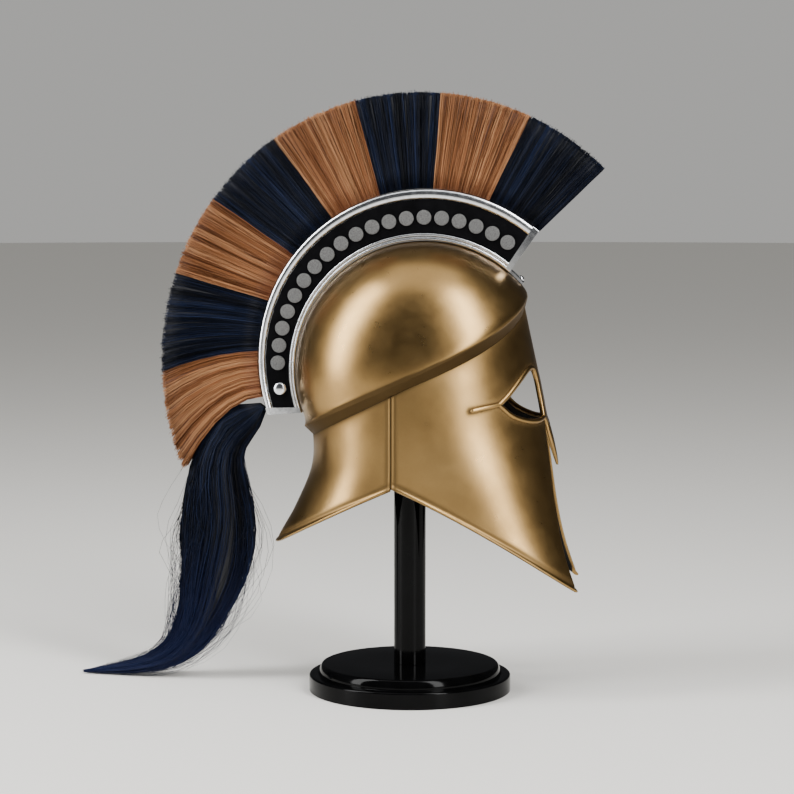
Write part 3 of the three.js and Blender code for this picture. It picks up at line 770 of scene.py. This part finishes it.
def turned(profile, centre, axis, sides):
    """A lathe shape: radius and height pairs, from the axis to the axis, turned round an axis that points
    out of a seat."""
    axis = unit(np.asarray(axis, float))
    side = unit(np.cross(axis, [0.3, 0.1, 1.0] if abs(axis[2]) < 0.9 else [1.0, 0.0, 0.0]))
    third = np.cross(axis, side)
    turn = np.linspace(0, 2 * np.pi, sides, endpoint=False)[:, None, None]
    radius, height = np.asarray(profile, float).T[:, None, :, None]
    points = np.asarray(centre) + radius * (side * np.cos(turn) + third * np.sin(turn)) + height * axis
    return points.reshape(-1, 3), grid_faces(sides, len(profile), close_rows=True)


def disc_profile(radius, thick, edge):
    """A flat disc with a rounded edge."""
    turn = np.linspace(0, np.pi / 2, 5)
    rim = np.stack([radius - edge + edge * np.cos(turn), thick - edge + edge * np.sin(turn)], -1)
    return np.concatenate([[[0, 0], [radius, 0]], rim, [[0.5 * radius, thick], [0, thick]]])


def dome_profile(radius, height):
    """A low domed head: a quarter ellipse from the rim to the crown, on a flat seat."""
    turn = np.linspace(0, np.pi / 2, 12)
    return np.concatenate([[[0, 0]], np.stack([radius * np.cos(turn), height * np.sin(turn)], -1)])


DISC_RADIUS, DISC_EDGE, RIVET_RADIUS = 7.25 * MM, 0.35 * MM, 6.4 * MM
SCREW_RADIUS, SCREW_HEIGHT, SCREW_AT, TONGUE_THICK = 3.3 * MM, 2.6 * MM, 43.6, 3.2 * MM
discs = sorted(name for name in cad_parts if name.startswith("crest_disc_"))
for node in discs + ["crest_rivet_right", "crest_rivet_left"]:
    low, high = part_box(node)
    out, height = -1 if "right" in node else 1, high.y - low.y
    seat = [(low.x + high.x) / 2, low.y if out > 0 else high.y, (low.z + high.z) / 2]
    if node in discs:
        profile, material, slot = disc_profile(DISC_RADIUS, height, DISC_EDGE), disc_grey, "disc_metal"
    else:
        profile, material, slot = dome_profile(RIVET_RADIUS, height), polished, "silver_metal"
    piece = new_piece(node.replace("crest_", ""), *turned(profile, seat, [0, out, 0], 48), [material])
    stand_for(piece, slot, node)
x, z = on_circle(CREST_FOOT, SCREW_AT, TONGUE_THICK)
outward = [np.cos(np.radians(SCREW_AT)), 0, np.sin(np.radians(SCREW_AT))]
screw_shape = turned(dome_profile(SCREW_RADIUS, SCREW_HEIGHT), [x, 0, z], outward, 32)
stand_for(new_piece("tongue_screw", *screw_shape, [polished]), "silver_metal", "front_screw")


# ---- Plume ----
# Horsehair, tied in hanks and set side by side into the crest's rim, every second one dyed navy and the
# others left copper. It stands up like a brush and is trimmed to a clean arc, and each hank keeps a dense
# heart under its loose outer hairs.
FAN = {"x": 11 * MM, "z": 343.3 * MM, "radius": 0.0}  # the point that the hairs' ends fan out from
ROOT_HALF, TIP_HALF, PLUME_RIDGES = 8.5 * MM, 14 * MM, 7
PLUME_EDGES = np.array([  # angle at the rim, angle at the trimmed edge, reach from the fan's centre, arch
    [49, 44.8, 256, 0],
    [68.8, 65.1, 256, 0],
    [87.9, 85.3, 256, 0],
    [106, 104.7, 256, 0],
    [124, 124.5, 256, 0],
    [142, 143.9, 256, 0],
    [159.9, 162.6, 257, 0],
    [177.4, 185.4, 261, 5],
    [193, 207, 268, 18],
]) * [1, 1, MM, MM]
EDGE_NUMBERS = np.arange(len(PLUME_EDGES))


def hair_point(along, share):
    """Side-view points of the plume: along runs from 0 at its front edge by one for each hank, and share
    from 0 at the rim to 1 at the trimmed edge. A hair is straight but for a bow, a parabola upwards."""
    root, tip, reach, arch = [np.interp(along, EDGE_NUMBERS, column) for column in PLUME_EDGES.T]
    start = on_circle(CREST, root, 0.3 * MM)
    point = start + (on_circle(FAN, tip, reach) - start) * share[..., None]
    point[..., 1] += 4 * arch * share * (1 - share)
    return point


def hair_mesh(lines, thickness):
    """Points and faces of many hairs at once: round each point of each line a triangle square to it, with
    the hair's two ends closed. lines has a row of points for each hair, thickness a number for each."""
    ahead = unit(np.gradient(lines, axis=1))
    side = unit(np.cross(ahead, [0.0, 1.0, 0.05]))
    up = np.cross(side, ahead)
    turn = np.linspace(0, 2 * np.pi, 3, endpoint=False)[:, None]
    round_it = side[:, :, None] * np.cos(turn) + up[:, :, None] * np.sin(turn)
    points = lines[:, :, None] + 0.5 * thickness[..., None, None] * round_it
    hairs, steps = lines.shape[:2]
    quads = grid_faces(steps, 3, close_columns=True)
    ends = [[2, 1, 0], 3 * (steps - 1) + np.arange(3)]
    one = np.concatenate([quads[:, [0, 1, 2]], quads[:, [0, 2, 3]], ends])
    return points.reshape(-1, 3), (np.arange(hairs)[:, None, None] * steps * 3 + one).reshape(-1, 3)


def hair_piece(name, lines, thickness, tone, heart, materials):
    """A hank: its heart, the points and quads of a closed form, and its hairs in one mesh. Each point
    carries its hair's tone and how far along the hair it lies, for the dye, its streaks and the root's
    painted shade."""
    points, faces = hair_mesh(lines, thickness)
    mesh = bpy.data.meshes.new(name)
    heart_points, quads = heart
    heart_count = len(heart_points)
    corners = np.concatenate([quads.reshape(-1), (faces + heart_count).reshape(-1)])
    sizes = np.repeat([4, 3], [len(quads), len(faces)])
    all_points = np.concatenate([heart_points, points])
    mesh.vertices.add(len(all_points))
    mesh.vertices.foreach_set("co", all_points.astype(np.float32).reshape(-1))
    mesh.loops.add(len(corners))
    mesh.loops.foreach_set("vertex_index", corners.astype(np.int32))
    mesh.polygons.add(len(sizes))
    mesh.polygons.foreach_set("loop_start", np.concatenate([[0], np.cumsum(sizes)[:-1]]).astype(np.int32))
    mesh.polygons.foreach_set("material_index", (sizes == 4).astype(np.int32))
    mesh.update(calc_edges=True)
    mesh.shade_smooth()
    piece = put_in_scene(name, mesh, materials)
    hairs, steps = lines.shape[:2]
    far = np.tile(np.repeat(np.linspace(0, 1, steps), 3), hairs)
    paint_points(piece, "tone", np.concatenate([np.full(heart_count, 0.3), np.repeat(tone, steps * 3)]))
    paint_points(piece, "along", np.concatenate([np.full(heart_count, 0.5), far]))
    return piece


def horsehair(name, dark, middle, light, root, low_colour):
    """Horsehair, coarse and smooth-skinned, dyed in the hank: each hair has its own tone, it is darker at
    the root, in its own root colour deepened by painted shade where the hairs crowd at the rim, it shifts
    towards a second colour near the ground, and its scales give it a soft gloss."""
    material, tree, shader, place = new_material(name)
    # Near the ground the dye shifts towards a second colour, up to a little over half of it.
    low_down = spread(tree, add(tree, "SeparateXYZ", {"Vector": place}).outputs[2], 0.0, 0.55, (0.16, 0.03))
    dye = ramp(tree, painted(tree, "tone"), [(0.05, dark), (0.5, middle), (0.95, light)])
    # Painted shade at the root over the hair's own root colour: up to half of the root colour near the rim.
    tone_and_painted_shade = spread(tree, painted(tree, "along"), 0.5, 0.0, (0.0, 0.2))
    fill(tree, shader, {
        "Base Color": mixed(tree, tone_and_painted_shade, mixed(tree, low_down, dye, linear(low_colour)), linear(root)),
        "Roughness": 0.46,
        "IOR": 1.55,
        "Specular IOR Level": 0.09,
    })
    return material


def hair_heart(name, colour, gap_shade_colour):
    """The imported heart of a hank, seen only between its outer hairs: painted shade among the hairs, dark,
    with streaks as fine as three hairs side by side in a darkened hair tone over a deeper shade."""
    material, tree, shader, place = new_material(name)
    streak = ramp(tree, noise(tree, place, 1 / (0.7 * MM), 2.0), [(0.35, gap_shade_colour), (0.7, colour)])
    fill(tree, shader, {"Base Color": streak, "Roughness": 0.75})
    return material


navy_hair = horsehair("navy dyed horsehair", "#020306", "#070B17", "#16203A", "#04060B", "#131C42")
copper_hair = horsehair("copper dyed horsehair", "#472612", "#7F5233", "#A67B57", "#5E3425", "#7F5233")
# The hearts wear painted shade: a darkened hair tone streaked with a deeper shade between the hairs.
navy = [navy_hair, hair_heart("navy hair, packed", "#080C18", "#030408")]
copper = [copper_hair, hair_heart("copper hair, packed", "#643B1E", "#341909")]


def plume_half(along, share, depth):
    """The plume's half-thickness, from the root's to the tip's, less a ridge's depth between its locks."""
    ridge = 1 - depth + depth * np.cos(2 * np.pi * PLUME_RIDGES * along)
    return (ROOT_HALF + (TIP_HALF - ROOT_HALF) * share) * ridge


def plume_heart(number, columns=45, rows=14):
    """A hank's heart: a closed form just inside its hairs, from the rim to the trimmed edge."""
    along = np.linspace(number + 0.012, number + 0.988, columns)
    share = np.concatenate([np.linspace(0.0, 0.955, rows - 1), [0.968]])
    along, share = np.meshgrid(along, share, indexing="ij")
    side = hair_point(along, share)
    half = (plume_half(along - number, share, 0.07) - 1.6 * MM) * np.where(share > 0.96, 0.8, 1.0)
    right, left = [np.stack([side[..., 0], y, side[..., 1]], -1) for y in (-half, half)]
    loop = np.concatenate([right, left[:, ::-1]], 1)
    j = np.arange(rows - 1)
    start = np.stack([j, j + 1, 2 * rows - 2 - j, 2 * rows - 1 - j], -1)
    end = (columns - 1) * 2 * rows + start[:, ::-1]
    sides = grid_faces(columns, 2 * rows, close_columns=True)
    return loop.reshape(-1, 3), np.concatenate([sides, start, end])


rng = np.random.default_rng(11)
HAIRS, HAIR_STEPS, LOCKS = 1900, 6, 30
TRIM_LOCK, TRIM_HAIR, STRAY_SHARE, STRAY_MOST = 0.005, 0.009, 0.05, 0.018  # of a hair's length
FINEST, COARSEST = 0.45, 0.8
for number in range(len(PLUME_EDGES) - 1):
    lock = rng.integers(0, LOCKS, HAIRS)
    lock_centre = ((np.arange(LOCKS) + 0.5 + rng.uniform(-0.25, 0.25, LOCKS)) / LOCKS)[lock]
    own = np.clip(lock_centre + rng.normal(0, 0.62 / LOCKS, HAIRS), 0.004, 0.996)
    share = np.linspace(0, 1, HAIR_STEPS)[None, :]
    pull = 0.45 * np.clip((share - 0.35) / 0.65, 0, 1) ** 1.5  # a lock's hairs draw together outwards
    along = own[:, None] + (lock_centre - own)[:, None] * pull
    drift = rng.normal(0, 0.010, (HAIRS, 1)) * share**2
    wave = np.sin(rng.uniform(0, 6.28, (HAIRS, 1)) + share * rng.uniform(3, 9, (HAIRS, 1)))
    along = along + drift + 0.004 * wave
    short = TRIM_LOCK * np.abs(rng.normal(0, 1, LOCKS))[lock] + TRIM_HAIR * np.abs(rng.normal(0, 1, HAIRS))
    stray = rng.random(HAIRS) < STRAY_SHARE
    trim = np.where(stray, 1 + rng.uniform(0.0, STRAY_MOST, HAIRS), 1 - short)
    side = hair_point(number + along, share * trim[:, None])
    sideways = rng.uniform(-1, 1, HAIRS)
    sideways = np.sign(sideways) * np.abs(sideways) ** 0.38  # most of the hairs lie near the outside
    y = sideways[:, None] * plume_half(along, share, 0.06) + rng.normal(0, 0.5 * MM, (HAIRS, 1)) * share
    lines = np.stack([side[..., 0], y, side[..., 1]], -1)
    thickness = rng.uniform(FINEST, COARSEST, (HAIRS, 1)) * MM * (1 - 0.45 * share**3)
    tone = np.clip(rng.normal(0.5, 0.17, LOCKS)[lock] + rng.normal(0, 0.16, HAIRS), 0, 1)
    dye, dyed = ("copper_hair", copper) if number % 2 else ("navy_hair", navy)
    name = f"plume_hank_{number + 1}"
    hank = hair_piece(name, lines, thickness, tone, plume_heart(number), dyed)
    stand_for(hank, dye, f"plume_{number + 1}")


# ---- Tail ----
# The long tail of navy horsehair that is bound to the crest's back end. It falls down the neck, swells
# where its locks open and sweeps back along the table to a point.
TAIL = np.array([  # centre x, y and z, and the size across the side view and through it
    [-147.4, 0, 285.6, 8, 15],
    [-155, 0, 277, 19, 18],
    [-168, 0, 266, 30, 22],
    [-183, 1, 252, 40, 26],
    [-191.5, 2, 235, 49, 30],
    [-195, 4, 212, 60, 34],
    [-195, 8, 182, 68, 38],
    [-197, 14, 150, 71, 38],
    [-200, 20, 122, 67, 38],
    [-209, 27, 88, 57, 37],
    [-224, 34, 55, 44, 36],
    [-242, 39, 31, 31, 34],
    [-266, 43, 16, 20, 30],
    [-296, 46, 8.6, 13, 22],
    [-322, 48, 5, 7, 13],
    [-345, 49, 2.6, 2.4, 4],
]) * MM
TAIL_HAIRS, TAIL_STEPS, TAIL_LOCKS = 1600, 20, 40
spine_way = np.concatenate([[0], np.cumsum(np.linalg.norm(np.diff(TAIL[:, :3], axis=0), axis=1))])
spine_way /= spine_way[-1]


def tail_frame(share):
    """The tail's centre at shares of its length, its sizes there, and its two directions across: one in
    side view and one through it, both square to its run."""
    rows = hermite(spine_way, TAIL, share)
    before, after = [hermite(spine_way, TAIL[:, :3], np.clip(share + step, 0, 1)) for step in (-0.01, 0.01)]
    ahead = unit(after - before)
    deep = unit(np.array([0.0, 1, 0]) - ahead * ahead[..., 1:2])
    return rows[..., :3], rows[..., 3], rows[..., 4], np.cross(ahead, deep), deep


def tail_heart(rows=60, columns=32):
    """The tail's dense heart, dark with painted shade: ellipses along its run, ridged by its locks, a
    little inside its hairs.
    """
    share = np.linspace(0.012, 0.95, rows)
    centre, wide, thick, across, deep = tail_frame(share)
    turn = np.linspace(0, 2 * np.pi, columns, endpoint=False)[None, :, None]
    ridge = 0.73 + 0.04 * np.cos(8 * turn)
    ridge = ridge * (0.35 + 0.65 * np.clip(share / 0.22, 0, 1))[:, None, None]
    half_wide, half_thick = 0.5 * wide[:, None, None] * ridge, 0.5 * thick[:, None, None] * ridge
    points = centre[:, None] + half_wide * across[:, None] * np.cos(turn)
    points = points + half_thick * deep[:, None] * np.sin(turn)
    points[..., 2] = np.maximum(points[..., 2], 0.6 * MM)
    j = np.arange(columns // 2 - 1)
    start = np.stack([j, columns - 1 - j, columns - 2 - j, j + 1], -1)
    end = (rows - 1) * columns + start[:, ::-1]
    sides = grid_faces(rows, columns, close_columns=True)[:, ::-1]
    return points.reshape(-1, 3), np.concatenate([sides, start, end])


lock = rng.integers(0, TAIL_LOCKS, TAIL_HAIRS)
lock_turn, lock_out = rng.uniform(0, 2 * np.pi, TAIL_LOCKS), rng.uniform(0.45, 1, TAIL_LOCKS) ** 0.5
lock_u, lock_v = (lock_out * np.cos(lock_turn))[lock], (lock_out * np.sin(lock_turn))[lock]
own_u, own_v = lock_u + rng.normal(0, 0.20, TAIL_HAIRS), lock_v + rng.normal(0, 0.22, TAIL_HAIRS)
beyond = np.maximum(np.hypot(own_u, own_v), 1)
own_u, own_v = own_u / beyond, own_v / beyond
broken = rng.random(TAIL_HAIRS) < 0.35
reach = np.where(broken, rng.uniform(0.72, 0.97, TAIL_HAIRS), rng.uniform(0.93, 1.0, TAIL_HAIRS))
share = np.linspace(0, 1, TAIL_STEPS)[None, :] * reach[:, None]
gathered = 0.35 * np.clip((share - 0.3) / 0.7, 0, 1)
hair_u = own_u[:, None] + (lock_u - own_u)[:, None] * gathered
hair_v = own_v[:, None] + (lock_v - own_v)[:, None] * gathered
phase, pace = rng.uniform(0, 2 * np.pi, TAIL_LOCKS)[lock], rng.uniform(4, 9, TAIL_LOCKS)[lock]
loose = np.clip(share / 0.35, 0, 1) * np.clip((1 - share) / 0.25, 0.15, 1)
hair_u = hair_u + 0.10 * loose * np.sin(phase[:, None] + pace[:, None] * share * 2)
flying = rng.random(TAIL_HAIRS) < 0.42
fly = rng.uniform(0.02, 0.90, TAIL_HAIRS) ** 1.5 * np.sign(rng.normal(0, 1, TAIL_HAIRS)) * flying
loosened, span = rng.uniform(0.15, 0.55, (2, TAIL_HAIRS, 1)) * [[[1]], [[1.4]]]
hair_u = hair_u + fly[:, None] * np.sin(np.pi * np.clip((share - loosened) / span, 0, 1)) ** 1.5
centre, wide, thick, across, deep = tail_frame(share)
lines = centre + 0.5 * wide[..., None] * hair_u[..., None] * across
lines = lines + 0.5 * thick[..., None] * hair_v[..., None] * deep
lines += rng.normal(0, 0.3 * MM, lines.shape) * loose[..., None]
bulge = 10 * MM * bell(share, 0.075, 0.05) * np.clip(0.25 - own_u, 0, 1)[:, None]  # up to the last hank
lines = lines - bulge[..., None] * across
lines[..., 2] = np.maximum(lines[..., 2], 0.5 * MM)
thickness = rng.uniform(0.5, 0.85, (TAIL_HAIRS, 1)) * MM * np.where(flying, 0.5, 1.0)[:, None]
thickness = thickness * (1 - 0.5 * share**4)
tone = np.clip(rng.normal(0.45, 0.16, TAIL_LOCKS)[lock] + rng.normal(0, 0.16, TAIL_HAIRS), 0, 1)
tail = hair_piece("plume_tail_hair", lines, thickness, tone, tail_heart(), navy)
stand_for(tail, "navy_hair", "plume_tail")


# ---- Stand ----
# A turned wooden foot of two discs and a turned pole, sprayed with black piano lacquer and rubbed to a
# deep gloss.
def piano_lacquer(name):
    """Black polyester lacquer over wood, buffed: a deep gloss with the faintest polishing haze."""
    material, tree, shader, place = new_material(name)
    haze = noise(tree, place, 45.0, 6.0, 0.7)
    fill(tree, shader, {
        "Base Color": ramp(tree, haze, [(0.35, "#030303"), (0.75, "#070708")]),
        "Roughness": spread(tree, haze, 0.06, 0.14, (0.35, 0.7)),
        "Specular IOR Level": 0.07,
    })
    return material


lacquer = piano_lacquer("black piano lacquer")
foot_corner, (pole_low, pole_high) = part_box("stand_base")[1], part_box("stand_pole")
LOWER_RADIUS, UPPER_RADIUS, STEP_Z, TOP_Z = foot_corner.x, 91.5 * MM, 17 * MM, foot_corner.z
EDGE, CHAMFER, GROOVE = 2 * MM, 0.6 * MM, 0.8 * MM
POLE_RADIUS, HEAD_RADIUS, HEAD_RISE, NECK_RISE = 16 * MM, 34 * MM, 26 * MM, 22 * MM
HEAD_Z = pole_high.z - HEAD_RISE
corner = np.linspace(0, np.pi / 2, 8)
low_edge = [LOWER_RADIUS - EDGE, STEP_Z - EDGE] + EDGE * np.stack([np.cos(corner), np.sin(corner)], -1)
corner = np.linspace(0, np.pi / 2, 16)
top_inset, top_rise = (TOP_Z - STEP_Z) * 0.45 * (1 - np.cos(corner)), (TOP_Z - STEP_Z) * np.sin(corner)
top_edge = np.stack([UPPER_RADIUS - top_inset, STEP_Z + top_rise], -1)
head = np.stack([HEAD_RADIUS * np.cos(corner), HEAD_Z + HEAD_RISE * np.sin(corner)], -1)
groove = [[UPPER_RADIUS + GROOVE, STEP_Z], [UPPER_RADIUS + 0.5 * MM, STEP_Z - CHAMFER]]
FOOT = [[[0, 0], [LOWER_RADIUS - CHAMFER, 0], [LOWER_RADIUS, CHAMFER]], low_edge, groove, top_edge,
        [[0.5 * UPPER_RADIUS, TOP_Z], [0, TOP_Z]]]
POST = [[[0, pole_low.z], [POLE_RADIUS, pole_low.z], [POLE_RADIUS, HEAD_Z - NECK_RISE]], head]
STAND = [("stand_foot", FOOT, 160, "stand_base"), ("stand_post", POST, 96, "stand_pole")]
for name, profile, sides, node in STAND:
    shape = turned(np.concatenate(profile), [0, 0, 0], [0, 0, 1], sides)
    stand_for(new_piece(name, *shape, [lacquer], 30), "black_lacquer", node)
